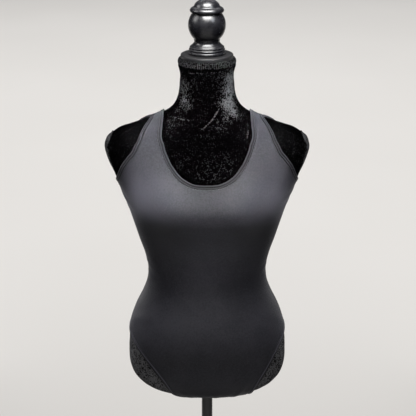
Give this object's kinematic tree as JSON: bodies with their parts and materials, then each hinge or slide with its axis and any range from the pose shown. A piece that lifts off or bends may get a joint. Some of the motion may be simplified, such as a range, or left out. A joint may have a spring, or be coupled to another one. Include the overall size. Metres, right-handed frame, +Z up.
{
  "type": "dance leotard on a limbless dress form",
  "caption": "Sleeveless scoop-neck dance leotard in stretch knit with bound edges, drawn over a limbless velvet-covered torso form with a turned finial, on a pole and a round foot.",
  "frame": {"origin": "on the floor, at the centre of the foot's underside", "axes": "+Z up along the pole; the front of the form faces -Y; its left hand side, as worn, is towards +X"},
  "size_m": [0.387, 0.36, 1.2883],
  "materials": {
    "charcoal_knit": "fine satin-faced stretch knit, charcoal",
    "charcoal_binding": "the same knit folded over the edge and stitched",
    "black_velvet": "black crushed velvet, brushed nap",
    "black_turned_wood": "turned wood, black satin lacquer",
    "black_metal": "black satin enamel on steel"
  },
  "bodies": {
    "root": {"front_panel": "charcoal_knit", "back_panel": "charcoal_knit", "neck_binding": "charcoal_binding", "arm_binding_left": "charcoal_binding", "arm_binding_right": "charcoal_binding", "leg_binding_left": "charcoal_binding", "leg_binding_right": "charcoal_binding", "form_torso": "black_velvet", "neck_plate": "black_turned_wood", "finial": "black_turned_wood", "pole": "black_metal", "pole_socket": "black_metal", "foot_collar": "black_metal", "foot_disc": "black_metal"}
  },
  "joints": []
}
